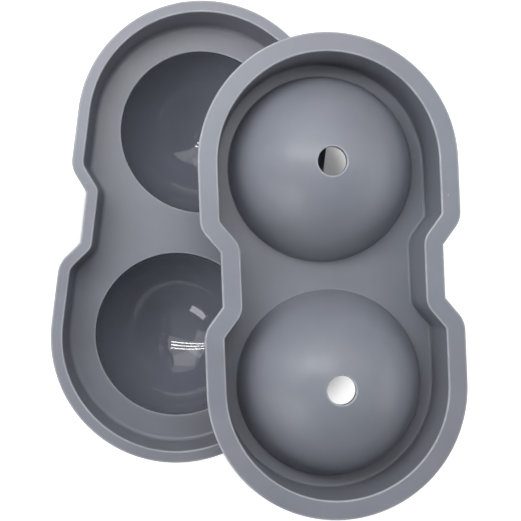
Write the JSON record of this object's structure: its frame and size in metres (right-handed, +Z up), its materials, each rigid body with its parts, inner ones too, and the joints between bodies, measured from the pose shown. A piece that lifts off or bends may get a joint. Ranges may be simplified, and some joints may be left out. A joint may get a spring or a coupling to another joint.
{
  "type": "ice ball mold",
  "caption": "Silicone mold for round ice: a figure-of-eight base tray with half-ball bowls, and a nesting lid tray with domes and fill holes, taken off and laid across the base's rim.",
  "frame": {"origin": "centre of the base tray's foot, on the surface that it stands on", "axes": "+Z up, +Y along the base tray's long axis, +X to the right, towards the side where the lid lies"},
  "size_m": [0.1521, 0.1839, 0.0903],
  "materials": {
    "base_silicone": "satin blue-grey silicone, polished inside the bowls",
    "lid_silicone": "satin blue-grey silicone"
  },
  "bodies": {
    "base": {"base_tray": "base_silicone"},
    "lid": {"lid_tray": "lid_silicone"}
  },
  "joints": [
    {"name": "lid_lift", "type": "slide", "parent": "base", "child": "lid", "axis": [0, 0, 1], "range_m": [0, 0.1]}
  ]
}
